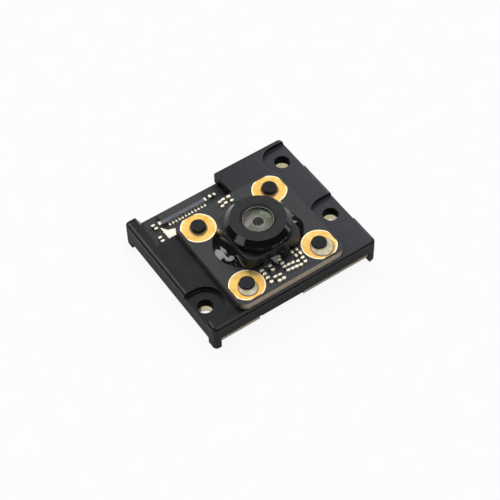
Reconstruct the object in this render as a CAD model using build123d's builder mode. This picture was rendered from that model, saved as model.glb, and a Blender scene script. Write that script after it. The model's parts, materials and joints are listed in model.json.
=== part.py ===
from build123d import *
import os

os.makedirs("parts", exist_ok=True)

# A fixed-mount barcode scanner module. A black moulded frame stands on four corner feet.
# The main board lies under the frame, the camera board on top of it, on four posts.
# Millimetres. X runs along the long side, Y from the front edge to the back edge, Z is
# zero at the underside of the feet and X, Y are zero at the middle of the footprint.

# Frame outline and heights
frame_width = 25.0
frame_depth = 21.6
corner_radius = 0.6
top_edge_round = 0.55
left_setback = 0.35
board_height = 1.1
main_board_thickness = 1.0
cavity_height = 1.1
plate_thickness = 1.0
wall_thickness = 0.9

# Frame skirts, feet and front lug
skirt_thickness = 0.45
skirt_drop = 0.8
foot_width = 1.0
foot_length = 1.5
foot_round = 0.35
lug_start = -5.4
lug_length = 6.5
lug_thickness = 0.4
lug_drop = 0.12

# Cut-out at the back left corner, over the cable connector
recess_reach = 6.05
recess_inset = 2.55
recess_width = 11.7
recess_slant = 1.05

# Screw holes, each in a shallow round pocket, on a boss that reaches the main board
bore_radius = 1.05
pocket_radius = 2.6
pocket_depth = 0.7
open_run = 4.0
boss_radius = 1.9
right_hole_inset = 2.0
back_hole_inset = 3.35
right_hole_spacing = 11.0
left_hole_inset = 1.5
left_hole_front = 4.35

# Posts that carry the camera board
camera_y = -2.25
post_pitch = 11.1
post_radius = 1.0
post_height = 1.7
post_chamfer = 0.1
window_side = 8.4

# Main board
board_gap = 0.1
side_gap = 0.05
board_inset = 0.3
notch_depth = 0.5
plating_thickness = 0.05
ring_width = 0.45
ground_pad_height = 0.06
ground_pad_width = 1.85
ground_pad_length = 2.4
ground_pad_slant = 0.65
ground_pad_shoulder = 0.9
ground_pad_step = 0.35
ground_pad_side = 0.52

# Cable connector on the main board
connector_inset = 5.65
connector_setback = 2.45
connector_left_end = 0.7
connector_right_end = 0.17
connector_length = 1.8
connector_height = 0.5
cheek_width = 0.14
housing_floor = 0.12
housing_wall = 0.62
actuator_height = 0.2
actuator_bevel = 0.05
contact_count = 12
contact_pitch = 0.5
contact_width = 0.26
contact_thickness = 0.06
contact_tail = 0.5
slit_clearance = 0.04
anchor_width = 0.4
anchor_length = 0.55
anchor_setback = 0.3
anchor_height = 0.2

# Board-to-board connector under the camera board
link_length = 7.6
link_width = 2.6
link_wall = 0.4
link_floor = 0.35
link_height = 1.5
link_clearance = 0.05
link_contact_count = 12
link_tail = 0.45

# Camera board and what is soldered on it
camera_board_side = 16.1
camera_board_radius = 1.3
camera_board_thickness = 1.0
post_hole_clearance = 0.15
pad_radius = 2.36
pad_corner_round = 0.4
pad_edge_inset = 0.35
pad_thickness = 0.05
glue_radius = 1.45
glue_height = 0.14
glue_depth = 0.5
glue_shift = 0.12
chip_length = 1.0
chip_width = 0.5
chip_height = 0.36
chip_end = 0.32

# Lens holder
holder_side = 8.3
holder_radius = 1.4
holder_height = 1.95
holder_edge_round = 0.12
collar_radius = 3.95
collar_height = 0.7
sensor_room = 6.0
sensor_room_height = 1.25
filter_side = 5.0
filter_thickness = 0.3
filter_clearance = 0.05
light_hole_radius = 2.2
ledge_thickness = 0.2
skirt_reach_left = 1.95
skirt_reach_right = 1.4
skirt_reach_front = 0.55
skirt_height = 1.25
skirt_round = 1.9

# Lens barrel and the glass in it
thread_radius = 3.5
thread_clearance = 0.05
thread_engagement = 0.85
flange_radius = 4.32
flange_height = 0.35
cone_height = 0.8
face_radius = 3.65
mouth_radius = 2.4
glass_radius = 1.95
mouth_depth = 0.28
lip_height = 0.2
element_radius = 2.25
element_clearance = 0.03
front_lens_edge = 0.45
front_lens_rise = 0.36
stop_thickness = 0.15
stop_radius = 0.7
rear_lens_edge = 0.5
retainer_radius = 1.5

# Image sensor
sensor_side = 5.2
sensor_height = 0.55
sensor_glass_side = 4.6
sensor_glass_thickness = 0.4

# Chips under the main board, with the gap from the big chip to the small ones round it
decoder_y = -1.2
decoder_side = 8.0
under_side_gap = 2.6
under_back_gap = 2.6
under_front_gap = 1.9
under_pitch = 1.8
decoder_height = 0.8
memory_length = 6.0
memory_width = 4.0
memory_height = 0.7
memory_inset = (5.6, 4.2)
crystal_length = 3.2
crystal_width = 2.5
crystal_height = 0.65
crystal_gap = (1.5, 1.4)
inductor_side = 3.0
inductor_height = 0.8
inductor_round = 0.3
inductor_inset = (7.3, 4.0)
regulator_length = 2.9
regulator_width = 1.6
regulator_height = 0.75
regulator_inset = (6.3, 4.2)
lead_reach = 0.5
lead_width = 0.4
lead_thickness = 0.15
package_bevel = 0.06

# Levels worked out from the sizes above
main_board_top = board_height + main_board_thickness
plate_bottom = main_board_top + cavity_height
frame_top = plate_bottom + plate_thickness
camera_board_top = frame_top + camera_board_thickness
holder_top = camera_board_top + holder_height
collar_top = holder_top + collar_height
barrel_top = collar_top + flange_height + cone_height

# Places worked out from the sizes above
half_width = frame_width / 2
half_depth = frame_depth / 2
right_hole_x = half_width - right_hole_inset
back_hole_y = half_depth - back_hole_inset
right_holes = [(right_hole_x, back_hole_y), (right_hole_x, back_hole_y - right_hole_spacing)]
left_hole = (left_hole_inset - half_width, left_hole_front - half_depth)
corners = [(-1, -1), (1, -1), (-1, 1), (1, 1)]
left_back = half_depth - left_setback
foot_corners = [
    (-half_width, -half_depth), (half_width, -half_depth), (-half_width, left_back),
    (half_width, half_depth),
]
recess_left = recess_inset - half_width
recess_right = recess_left + recess_width
connector_x = recess_left + connector_inset
connector_front = half_depth - connector_setback
contact_row = (contact_count - 1) * contact_pitch + contact_width
connector_left = connector_x - contact_row / 2 - connector_left_end
connector_right = connector_x + contact_row / 2 + connector_right_end
connector_width = connector_right - connector_left
post_places = [(sx * post_pitch / 2, camera_y + sy * post_pitch / 2) for sx, sy in corners]
post_hole_radius = post_radius + post_hole_clearance
camera_front = camera_y - camera_board_side / 2
camera_back = camera_y + camera_board_side / 2
under_side = decoder_side / 2 + under_side_gap
under_back = decoder_y + decoder_side / 2 + under_back_gap
under_front = decoder_y - decoder_side / 2 - under_front_gap
memory_place = (memory_inset[0] - half_width, half_depth - memory_inset[1])
crystal_place = (
    decoder_side / 2 + crystal_gap[0], decoder_y - decoder_side / 2 - crystal_gap[1]
)
inductor_place = (half_width - inductor_inset[0], half_depth - inductor_inset[1])
regulator_place = (regulator_inset[0] - half_width, regulator_inset[1] - half_depth)

# Chips on the camera board: X, inset from its front or back edge, and whether along X
front_chips = [
    (-2.78, 2.85, False), (-1.65, 2.8, False), (-2.8, 1.42, False), (-1.95, 1.0, False),
    (-1.3, 1.0, False), (-0.12, 1.63, False), (0.47, 1.6, False), (1.06, 1.55, False),
    (1.66, 1.47, False), (-0.05, 2.92, False), (2.3, 2.68, True), (2.3, 3.32, True),
    (2.45, 1.58, False),
]
back_chips = [(-0.38, 0.95, False), (0.37, 0.95, False), (-1.04, 1.05, False)]
camera_chips = [(x, camera_front + inset, along) for x, inset, along in front_chips]
camera_chips += [(x, camera_back - inset, along) for x, inset, along in back_chips]

# Chips on the main board: X past either end of the cable connector and Y behind its front
left_end_chips = [(1.14, 0.32), (1.42, -1.82)]
right_end_chips = [(1.3, 0.5)]
main_chips = [(connector_left - x, connector_front + y, False) for x, y in left_end_chips]
main_chips += [(connector_right + x, connector_front + y, True) for x, y in right_end_chips]

# Chips under the main board: a column at each side of the big chip, a row behind and before
under_chips = []
for step in (-1, 0, 1):
    shift = step * under_pitch
    under_chips += [(-under_side, decoder_y + shift, False), (under_side, decoder_y + shift, False)]
    under_chips += [(shift, under_back, True), (shift, under_front, True)]


def finish(piece, name):
    """Label a finished piece and write it as a STEP file of the same name."""
    piece.part.label = name
    export_step(piece.part, "parts/" + name + ".step")


# Outline of the frame from above, set back a little left of the cut-out
recess_middle = (recess_left + recess_right) / 2

with BuildSketch() as frame_outline:
    Rectangle(frame_width, frame_depth)
    with Locations((-half_width, half_depth)):
        Rectangle(2 * (half_width + recess_middle), 2 * left_setback, mode=Mode.SUBTRACT)
    fillet(frame_outline.vertices().group_by(Axis.X)[0], corner_radius)
    fillet(frame_outline.vertices().group_by(Axis.X)[-1], corner_radius)


# Frame: one moulding with its skirts, feet, lug, bosses and posts
with BuildPart() as frame:
    with BuildSketch(Plane.XY.offset(main_board_top)):
        add(frame_outline.sketch)
    extrude(amount=frame_top - main_board_top)
    with BuildSketch(Plane.XZ.offset(-half_depth)):
        with BuildLine():
            Polyline(
                (recess_left, main_board_top),
                (recess_left - recess_slant, frame_top),
                (recess_right, frame_top),
                (recess_right, main_board_top),
                close=True,
            )
        make_face()
    extrude(amount=recess_reach, mode=Mode.SUBTRACT)
    outer_edges = frame.faces().sort_by(Axis.Z)[-1].edges().filter_by(
        lambda edge: abs(edge.center().X) > half_width - corner_radius
        or abs(edge.center().Y) > left_back - corner_radius
    )
    fillet(outer_edges, top_edge_round)
    with BuildSketch(Plane.XY.offset(main_board_top)):
        add(frame_outline.sketch)
        Rectangle(frame_width - 2 * skirt_thickness, frame_depth, mode=Mode.SUBTRACT)
    extrude(amount=-skirt_drop)
    with BuildSketch():
        with Locations(*foot_corners):
            Rectangle(2 * foot_width, 2 * foot_length)
        add(frame_outline.sketch, mode=Mode.INTERSECT)
    extrude(amount=main_board_top)
    fillet(frame.faces().group_by(Axis.Z)[0].edges(), foot_round)
    with BuildSketch(Plane.XY.offset(main_board_top)):
        with Locations((lug_start, -half_depth)):
            Rectangle(lug_length, lug_thickness, align=(Align.MIN, Align.MIN))
    extrude(amount=-lug_drop)
    with BuildSketch(Plane.XY.offset(main_board_top)):
        Rectangle(frame_width - 2 * wall_thickness, frame_depth - 2 * wall_thickness)
        with Locations(*right_holes, left_hole):
            Circle(boss_radius, mode=Mode.SUBTRACT)
    extrude(amount=cavity_height, mode=Mode.SUBTRACT)
    with BuildSketch(Plane.XY.offset(plate_bottom)):
        with Locations((0, camera_y)):
            Rectangle(window_side, window_side)
    extrude(amount=plate_thickness, mode=Mode.SUBTRACT)
    with BuildSketch(Plane.XY.offset(frame_top)):
        with Locations(*right_holes, left_hole):
            Circle(pocket_radius)
        with Locations(*right_holes):
            Rectangle(open_run, 2 * pocket_radius, align=(Align.MIN, Align.CENTER))
        with Locations(left_hole):
            Rectangle(open_run, 2 * pocket_radius, align=(Align.MAX, Align.CENTER))
    extrude(amount=-pocket_depth, mode=Mode.SUBTRACT)
    with Locations(*[(x, y, frame_top - pocket_depth) for x, y in [*right_holes, left_hole]]):
        Hole(bore_radius, depth=frame_top)
    with BuildSketch(Plane.XY.offset(frame_top)):
        with Locations(*post_places):
            Circle(post_radius)
    extrude(amount=post_height)
    chamfer(frame.faces().group_by(Axis.Z)[-1].edges(), post_chamfer)
finish(frame, "frame")


# Main board: notched round the feet and the lug, with two holes and one edge slot
board_width = frame_width - 2 * (skirt_thickness + side_gap)
board_depth = frame_depth - 2 * board_inset
drill_radius = bore_radius + plating_thickness

with BuildPart() as main_board:
    with BuildSketch(Plane.XY.offset(board_height)):
        Rectangle(board_width, board_depth)
        with Locations(*foot_corners):
            Rectangle(
                2 * (foot_width + board_gap), 2 * (foot_length + board_gap), mode=Mode.SUBTRACT
            )
        with Locations((lug_start - board_gap, -board_depth / 2)):
            Rectangle(
                lug_length + 2 * board_gap,
                notch_depth,
                align=(Align.MIN, Align.MIN),
                mode=Mode.SUBTRACT,
            )
        with Locations(*right_holes, left_hole):
            Circle(drill_radius, mode=Mode.SUBTRACT)
        with Locations(left_hole):
            Rectangle(
                open_run, 2 * drill_radius, align=(Align.MAX, Align.CENTER), mode=Mode.SUBTRACT
            )
    extrude(amount=main_board_thickness)
finish(main_board, "main_board")


# Plating of the three screw holes, as thin sleeves with a ring under the board
with BuildPart() as hole_plating:
    with BuildSketch(Plane.XY.offset(board_height)):
        with Locations(*right_holes, left_hole):
            Circle(drill_radius)
            Circle(bore_radius, mode=Mode.SUBTRACT)
        with Locations(left_hole):
            Rectangle(
                open_run, 2 * drill_radius, align=(Align.MAX, Align.CENTER), mode=Mode.SUBTRACT
            )
    extrude(amount=main_board_thickness)
    with BuildSketch(Plane.XY.offset(board_height)):
        with Locations(*right_holes, left_hole):
            Circle(bore_radius + ring_width)
            Circle(bore_radius, mode=Mode.SUBTRACT)
        with Locations(left_hole):
            Rectangle(
                open_run,
                2 * (bore_radius + ring_width),
                align=(Align.MAX, Align.CENTER),
                mode=Mode.SUBTRACT,
            )
    extrude(amount=-plating_thickness)
finish(hole_plating, "hole_plating")


# Tinned ground pad beside the connector, a low plate with one slanted side
pad_left = connector_left - ground_pad_side
pad_right = pad_left + ground_pad_width
shoulder_y = connector_front - ground_pad_shoulder

with BuildPart() as ground_pad:
    with BuildSketch(Plane.XY.offset(main_board_top)):
        with BuildLine():
            Polyline(
                (pad_left, connector_front),
                (pad_left + ground_pad_slant, shoulder_y),
                (pad_right, shoulder_y - ground_pad_step),
                (pad_right, connector_front - ground_pad_length),
                (pad_left, connector_front - ground_pad_length),
                close=True,
            )
        make_face()
    extrude(amount=ground_pad_height)
finish(ground_pad, "ground_pad")


# Cable connector housing: a floor, two cheeks and a front wall with a slit for each contact
contact_places = [
    connector_x + (i - (contact_count - 1) / 2) * contact_pitch for i in range(contact_count)
]
slit_height = housing_floor + contact_thickness + slit_clearance
cable_side = connector_front + housing_wall
flap_level = main_board_top + connector_height - actuator_height

with BuildPart() as connector_housing:
    with BuildSketch(Plane.XY.offset(main_board_top)):
        with Locations((connector_left, connector_front)):
            Rectangle(connector_width, connector_length, align=(Align.MIN, Align.MIN))
    extrude(amount=connector_height)
    with BuildSketch(Plane.XY.offset(main_board_top + housing_floor)):
        with Locations((connector_left + cheek_width, cable_side)):
            Rectangle(
                connector_width - 2 * cheek_width, connector_length, align=(Align.MIN, Align.MIN)
            )
    extrude(amount=connector_height, mode=Mode.SUBTRACT)
    with BuildSketch(Plane.XY.offset(flap_level)):
        with Locations((connector_left, cable_side)):
            Rectangle(connector_width, connector_length, align=(Align.MIN, Align.MIN))
    extrude(amount=actuator_height, mode=Mode.SUBTRACT)
    with BuildSketch(Plane.XY.offset(main_board_top)):
        with Locations(*[(x, connector_front) for x in contact_places]):
            Rectangle(
                contact_width + 2 * slit_clearance, housing_wall, align=(Align.CENTER, Align.MIN)
            )
    extrude(amount=slit_height, mode=Mode.SUBTRACT)
finish(connector_housing, "connector_housing")


# Cable connector actuator: the flap that locks the flat cable, closed over the cheeks
with BuildPart() as connector_actuator:
    with BuildSketch(Plane.XY.offset(flap_level)):
        with Locations((connector_left, cable_side)):
            Rectangle(
                connector_width, connector_length - housing_wall, align=(Align.MIN, Align.MIN)
            )
    extrude(amount=actuator_height)
    chamfer(connector_actuator.edges().filter_by(Axis.X).sort_by(Axis.Z)[-2:], actuator_bevel)
finish(connector_actuator, "connector_actuator")


# Cable connector contacts: a soldered tail, a riser in the slit and a beam on the floor
tail_level = main_board_top + contact_thickness
beam_level = main_board_top + housing_floor
riser_back = connector_front + contact_thickness

with BuildPart() as connector_contacts:
    for contact_x in contact_places:
        with BuildSketch(Plane.YZ.offset(contact_x)):
            with BuildLine():
                Polyline(
                    (connector_front - contact_tail, main_board_top),
                    (connector_front - contact_tail, tail_level),
                    (connector_front, tail_level),
                    (connector_front, beam_level + contact_thickness),
                    (connector_front + connector_length, beam_level + contact_thickness),
                    (connector_front + connector_length, beam_level),
                    (riser_back, beam_level),
                    (riser_back, main_board_top),
                    close=True,
                )
            make_face()
        extrude(amount=contact_width / 2, both=True)
finish(connector_contacts, "connector_contacts")


# Anchor tabs soldered down at both ends of the cable connector
with BuildPart() as connector_anchors:
    with BuildSketch(Plane.XY.offset(main_board_top)):
        for tab_x in (connector_left - anchor_width, connector_right):
            with Locations((tab_x, connector_front + anchor_setback)):
                Rectangle(anchor_width, anchor_length, align=(Align.MIN, Align.MIN))
    extrude(amount=anchor_height)
finish(connector_anchors, "connector_anchors")


# Socket of the board-to-board connector, open at the top
with BuildPart() as link_socket:
    with BuildSketch(Plane.XY.offset(main_board_top)):
        with Locations((0, camera_y)):
            Rectangle(link_length, link_width)
    extrude(amount=link_height)
    with BuildSketch(Plane.XY.offset(main_board_top + link_floor)):
        with Locations((0, camera_y)):
            Rectangle(link_length - 2 * link_wall, link_width - 2 * link_wall)
    extrude(amount=link_height, mode=Mode.SUBTRACT)
finish(link_socket, "link_socket")


# Plug of the board-to-board connector, under the camera board and down in the socket
plug_length = link_length - 2 * (link_wall + link_clearance)
plug_width = link_width - 2 * (link_wall + link_clearance)

with BuildPart() as link_plug:
    with BuildSketch(Plane.XY.offset(frame_top)):
        with Locations((0, camera_y)):
            Rectangle(plug_length, plug_width)
    extrude(amount=-(frame_top - main_board_top - link_floor))
finish(link_plug, "link_plug")


# Solder tails of the two connector halves, in rows along both long sides
def link_tails(half_body_width, level, direction):
    """Draw both rows of tails beside a body of this half width, up or down from a level."""
    with BuildPart() as tails:
        with BuildSketch(Plane.XY.offset(level)):
            for side in (-1, 1):
                row_y = camera_y + side * (half_body_width + link_tail / 2)
                with Locations((0, row_y)):
                    with GridLocations(contact_pitch, 1, link_contact_count, 1):
                        Rectangle(contact_width, link_tail)
        extrude(amount=direction * contact_thickness)
    return tails


socket_tails = link_tails(link_width / 2, main_board_top, 1)
finish(socket_tails, "socket_tails")
plug_tails = link_tails(plug_width / 2, frame_top, -1)
finish(plug_tails, "plug_tails")


# Camera board: square with round corners and a clearance hole for each post
with BuildPart() as camera_board:
    with BuildSketch(Plane.XY.offset(frame_top)):
        with Locations((0, camera_y)):
            RectangleRounded(camera_board_side, camera_board_side, camera_board_radius)
        with Locations(*post_places):
            Circle(post_hole_radius + plating_thickness, mode=Mode.SUBTRACT)
    extrude(amount=camera_board_thickness)
finish(camera_board, "camera_board")


# Gold corner pads: a flat pad trimmed along the board edges and a plated hole
with BuildPart() as corner_pads:
    with BuildSketch(Plane.XY.offset(camera_board_top)) as pads:
        with Locations(*post_places):
            Circle(pad_radius)
        with Locations((0, camera_y)):
            Rectangle(
                camera_board_side - 2 * pad_edge_inset,
                camera_board_side - 2 * pad_edge_inset,
                mode=Mode.INTERSECT,
            )
        fillet(pads.vertices(), pad_corner_round)
        with Locations(*post_places):
            Circle(post_hole_radius, mode=Mode.SUBTRACT)
    extrude(amount=pad_thickness)
    with BuildSketch(Plane.XY.offset(frame_top)):
        with Locations(*post_places):
            Circle(post_hole_radius + plating_thickness)
            Circle(post_hole_radius, mode=Mode.SUBTRACT)
    extrude(amount=camera_board_thickness)
finish(corner_pads, "corner_pads")


# Glue round the posts: a sleeve in each hole and a low bead on the two front pads
with BuildPart() as post_glue:
    with BuildSketch(Plane.XY.offset(camera_board_top + pad_thickness)):
        with Locations(*post_places):
            Circle(post_hole_radius)
            Circle(post_radius, mode=Mode.SUBTRACT)
    extrude(amount=-glue_depth)
    with BuildSketch(Plane.XY.offset(camera_board_top + pad_thickness)):
        with Locations(*[(x + glue_shift, y - glue_shift) for x, y in post_places if y < camera_y]):
            Circle(glue_radius)
        with Locations(*post_places):
            Circle(post_radius, mode=Mode.SUBTRACT)
    extrude(amount=glue_height)
finish(post_glue, "post_glue")


# Chips with two ends: a body and the metal ends that are soldered down
def chip_bodies(places, level, direction):
    """Draw the bodies of the chips at these places, up or down from a board face."""
    with BuildPart() as bodies:
        with BuildSketch(Plane.XY.offset(level)):
            for x, y, along_x in places:
                with Locations(Location((x, y), 0 if along_x else 90)):
                    Rectangle(chip_length - 2 * chip_end, chip_width)
        extrude(amount=direction * chip_height)
    return bodies


def chip_ends(places, level, direction):
    """Draw both metal ends of the chips at these places, up or down from a board face."""
    with BuildPart() as ends:
        with BuildSketch(Plane.XY.offset(level)):
            for x, y, along_x in places:
                with Locations(Location((x, y), 0 if along_x else 90)):
                    with GridLocations(chip_length - chip_end, 1, 2, 1):
                        Rectangle(chip_end, chip_width)
        extrude(amount=direction * chip_height)
    return ends


finish(chip_bodies(camera_chips, camera_board_top, 1), "camera_chip_bodies")
finish(chip_ends(camera_chips, camera_board_top, 1), "camera_chip_ends")
finish(chip_bodies(main_chips, main_board_top, 1), "main_chip_bodies")
finish(chip_ends(main_chips, main_board_top, 1), "main_chip_ends")
finish(chip_bodies(under_chips, board_height, -1), "under_chip_bodies")
finish(chip_ends(under_chips, board_height, -1), "under_chip_ends")


# Image sensor: a low package with a cover glass, on the camera board under the lens
with BuildPart() as image_sensor:
    with BuildSketch(Plane.XY.offset(camera_board_top)):
        with Locations((0, camera_y)):
            Rectangle(sensor_side, sensor_side)
    extrude(amount=sensor_height)
finish(image_sensor, "image_sensor")

with BuildPart() as sensor_glass:
    with BuildSketch(Plane.XY.offset(camera_board_top + sensor_height)):
        with Locations((0, camera_y)):
            Rectangle(sensor_glass_side, sensor_glass_side)
    extrude(amount=sensor_glass_thickness)
finish(sensor_glass, "sensor_glass")


# Lens holder: a square block with a round collar, a sensor room and a threaded bore
filter_level = camera_board_top + sensor_room_height
ledge_level = filter_level + filter_thickness
bore_level = ledge_level + ledge_thickness
lens_plane = Plane.XZ.offset(-camera_y)

with BuildPart() as lens_holder:
    with BuildSketch(Plane.XY.offset(camera_board_top)):
        with Locations((0, camera_y)):
            RectangleRounded(holder_side, holder_side, holder_radius)
    extrude(amount=holder_height)
    fillet(lens_holder.faces().sort_by(Axis.Z)[-1].edges(), holder_edge_round)
    with BuildSketch(Plane.XY.offset(holder_top)):
        with Locations((0, camera_y)):
            Circle(collar_radius)
    extrude(amount=collar_height)
    with BuildSketch(Plane.XY.offset(camera_board_top)):
        with Locations((0, camera_y)):
            Rectangle(sensor_room, sensor_room)
    extrude(amount=sensor_room_height, mode=Mode.SUBTRACT)
    with BuildSketch(Plane.XY.offset(filter_level)):
        with Locations((0, camera_y)):
            Rectangle(filter_side + 2 * filter_clearance, filter_side + 2 * filter_clearance)
    extrude(amount=filter_thickness, mode=Mode.SUBTRACT)
    with BuildSketch(Plane.XY.offset(ledge_level)):
        with Locations((0, camera_y)):
            Circle(light_hole_radius)
    extrude(amount=ledge_thickness, mode=Mode.SUBTRACT)
    with BuildSketch(Plane.XY.offset(bore_level)):
        with Locations((0, camera_y)):
            Circle(thread_radius)
    extrude(amount=collar_top - bore_level, mode=Mode.SUBTRACT)
finish(lens_holder, "lens_holder")


# Infrared filter: a square plate pressed up into its seat in the holder
with BuildPart() as infrared_filter:
    with BuildSketch(Plane.XY.offset(filter_level)):
        with Locations((0, camera_y)):
            Rectangle(filter_side, filter_side)
    extrude(amount=filter_thickness)
finish(infrared_filter, "infrared_filter")


# Holder adhesive: a glossy skirt that flares out from the block onto the board
skirt_levels = [0, 0.08, 0.24, 0.5, 1.0]
skirt_shares = [1.0, 0.66, 0.36, 0.13, 0.03]

with BuildPart() as holder_adhesive:
    for level, share in zip(skirt_levels, skirt_shares):
        left = holder_side / 2 + share * skirt_reach_left
        right = holder_side / 2 + share * skirt_reach_right
        front = holder_side / 2 + share * skirt_reach_front
        with BuildSketch(Plane.XY.offset(camera_board_top + level * skirt_height)):
            with Locations(((right - left) / 2, camera_y)):
                RectangleRounded(left + right, 2 * front, holder_radius + share * skirt_round)
    loft()
    with BuildSketch(Plane.XY.offset(camera_board_top)):
        with Locations((0, camera_y)):
            RectangleRounded(holder_side, holder_side, holder_radius)
    extrude(amount=skirt_height, mode=Mode.SUBTRACT)
    add(corner_pads.part, mode=Mode.SUBTRACT)
finish(holder_adhesive, "holder_adhesive")


# Lens barrel: a threaded tube with a wide flange, a cone and a bevelled mouth
barrel_bottom = collar_top - thread_engagement
mouth_bottom = barrel_top - mouth_depth
lip_bottom = mouth_bottom - lip_height

with BuildPart() as lens_barrel:
    with BuildSketch(lens_plane):
        with BuildLine():
            Polyline(
                (element_radius, barrel_bottom),
                (thread_radius - thread_clearance, barrel_bottom),
                (thread_radius - thread_clearance, collar_top),
                (flange_radius, collar_top),
                (flange_radius, collar_top + flange_height),
                (face_radius, barrel_top),
                (mouth_radius, barrel_top),
                (glass_radius, mouth_bottom),
                (glass_radius, lip_bottom),
                (element_radius, lip_bottom),
                close=True,
            )
        make_face()
    revolve(axis=Axis((0, camera_y, 0), (0, 0, 1)))
finish(lens_barrel, "lens_barrel")


# Glass elements, stop and retainer, stacked down from the barrel's front lip
element_edge = element_radius - element_clearance
front_lens_bottom = lip_bottom - front_lens_edge
dome_radius = glass_radius - element_clearance
dome_curve = (dome_radius**2 + front_lens_rise**2) / (2 * front_lens_rise)

with BuildPart() as front_lens:
    with BuildSketch(lens_plane):
        with BuildLine():
            Polyline(
                (0, lip_bottom + front_lens_rise),
                (0, front_lens_bottom),
                (element_edge, front_lens_bottom),
                (element_edge, lip_bottom),
                (dome_radius, lip_bottom),
            )
            RadiusArc((dome_radius, lip_bottom), (0, lip_bottom + front_lens_rise), -dome_curve)
        make_face()
    revolve(axis=Axis((0, camera_y, 0), (0, 0, 1)))
finish(front_lens, "front_lens")

stop_bottom = front_lens_bottom - stop_thickness

with BuildPart() as aperture_stop:
    with BuildSketch(Plane.XY.offset(stop_bottom)):
        with Locations((0, camera_y)):
            Circle(element_edge)
            Circle(stop_radius, mode=Mode.SUBTRACT)
    extrude(amount=stop_thickness)
finish(aperture_stop, "aperture_stop")

rear_lens_bottom = stop_bottom - rear_lens_edge

with BuildPart() as rear_lens:
    with BuildSketch(Plane.XY.offset(rear_lens_bottom)):
        with Locations((0, camera_y)):
            Circle(element_edge)
    extrude(amount=rear_lens_edge)
finish(rear_lens, "rear_lens")

with BuildPart() as lens_retainer:
    with BuildSketch(Plane.XY.offset(rear_lens_bottom)):
        with Locations((0, camera_y)):
            Circle(element_edge)
            Circle(retainer_radius, mode=Mode.SUBTRACT)
    extrude(amount=-(rear_lens_bottom - barrel_bottom))
finish(lens_retainer, "lens_retainer")


# Chips under the main board
def flat_chip(name, place, length, width, height):
    """Draw one flat package hanging from the underside of the main board."""
    with BuildPart() as chip:
        with BuildSketch(Plane.XY.offset(board_height)):
            with Locations(place):
                Rectangle(length, width)
        extrude(amount=-height)
        chamfer(chip.faces().sort_by(Axis.Z)[0].edges(), package_bevel)
    finish(chip, name)


flat_chip("decoder_chip", (0, decoder_y), decoder_side, decoder_side, decoder_height)
flat_chip("memory_chip", memory_place, memory_length, memory_width, memory_height)
flat_chip("crystal", crystal_place, crystal_length, crystal_width, crystal_height)

with BuildPart() as inductor:
    with BuildSketch(Plane.XY.offset(board_height)):
        with Locations(inductor_place):
            RectangleRounded(inductor_side, inductor_side, inductor_round)
    extrude(amount=-inductor_height)
finish(inductor, "inductor")

with BuildPart() as regulator:
    with BuildSketch(Plane.XY.offset(board_height)):
        with Locations(regulator_place):
            Rectangle(regulator_length, regulator_width)
    extrude(amount=-regulator_height)
finish(regulator, "regulator")

with BuildPart() as regulator_leads:
    with BuildSketch(Plane.XY.offset(board_height)):
        with Locations(regulator_place):
            with GridLocations(regulator_length / 3, regulator_width + lead_reach, 3, 2):
                Rectangle(lead_width, lead_reach)
    extrude(amount=-lead_thickness)
finish(regulator_leads, "regulator_leads")
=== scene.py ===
# %% [markdown]
# # A barcode scanner module, dressed in Blender
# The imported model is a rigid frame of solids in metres. This script loads it, gives each solid a
# finish made of shader nodes, and adds the soft forms that flow in the real thing: cured adhesive,
# solder and glue. Every new piece is a surface worked out with numpy, as whole arrays.

# %% Load the frame
import json
import math

import bpy
import numpy as np
from mathutils import Matrix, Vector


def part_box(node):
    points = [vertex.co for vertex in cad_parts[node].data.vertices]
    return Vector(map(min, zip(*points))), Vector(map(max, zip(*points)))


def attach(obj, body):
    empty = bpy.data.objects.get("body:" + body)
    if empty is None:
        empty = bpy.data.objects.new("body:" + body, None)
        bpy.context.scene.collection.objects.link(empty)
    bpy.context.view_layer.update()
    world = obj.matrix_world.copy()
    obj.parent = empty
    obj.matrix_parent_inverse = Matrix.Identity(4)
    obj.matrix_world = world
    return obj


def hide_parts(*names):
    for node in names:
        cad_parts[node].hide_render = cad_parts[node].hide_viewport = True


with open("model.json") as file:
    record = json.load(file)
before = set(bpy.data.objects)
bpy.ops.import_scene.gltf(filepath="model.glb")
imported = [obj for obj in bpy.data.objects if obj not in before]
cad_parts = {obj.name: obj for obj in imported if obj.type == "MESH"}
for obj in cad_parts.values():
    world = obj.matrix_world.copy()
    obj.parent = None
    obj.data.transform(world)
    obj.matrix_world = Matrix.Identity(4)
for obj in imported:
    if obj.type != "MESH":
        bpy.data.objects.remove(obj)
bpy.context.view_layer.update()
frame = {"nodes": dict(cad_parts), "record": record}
nodes = frame["nodes"]
MM = 0.001

# %% [markdown]
# ## Places read from the solids
# Levels and centres could be typed in. Here each comes from a solid's box, so the new pieces stay
# on what carries them when the solids change. The four posts stand in a square round the lens, and
# the record gives the screw holes.

# %% Places read from the solids
def corners(name):
    """Lowest and highest corner of a CAD node as numpy arrays, in metres."""
    low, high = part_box(name)
    return np.array(low), np.array(high)


barrel_low, barrel_high = corners("lens_barrel")
holder_low, holder_high = corners("lens_holder")
lens_centre = (barrel_low + barrel_high) / 2
board_top = corners("camera_board")[1][2]
main_top = corners("main_board")[1][2]
pads_top = corners("corner_pads")[1][2]
stop_top = corners("aperture_stop")[1][2]
POST_REACH = 5.55 * MM
posts = [(sx * POST_REACH, lens_centre[1] + sy * POST_REACH) for sy in (-1, 1) for sx in (-1, 1)]
bores = [row["pos_m"][:2] for row in frame["record"]["mounts"] if row["kind"] == "bore"]
print(len(posts), "posts,", len(bores), "screw holes")
print("camera board top at", round(board_top / MM, 2), "mm, lens centre", np.round(lens_centre / MM, 2))

# %% [markdown]
# ## Camera
# The camera stands where a fit of the photograph puts it: turned about the vertical, tipped down,
# and rolled a little. A constraint could aim it, but it would leave out the roll. So its three axes
# are worked out, and make the columns of its rotation matrix.

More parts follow.
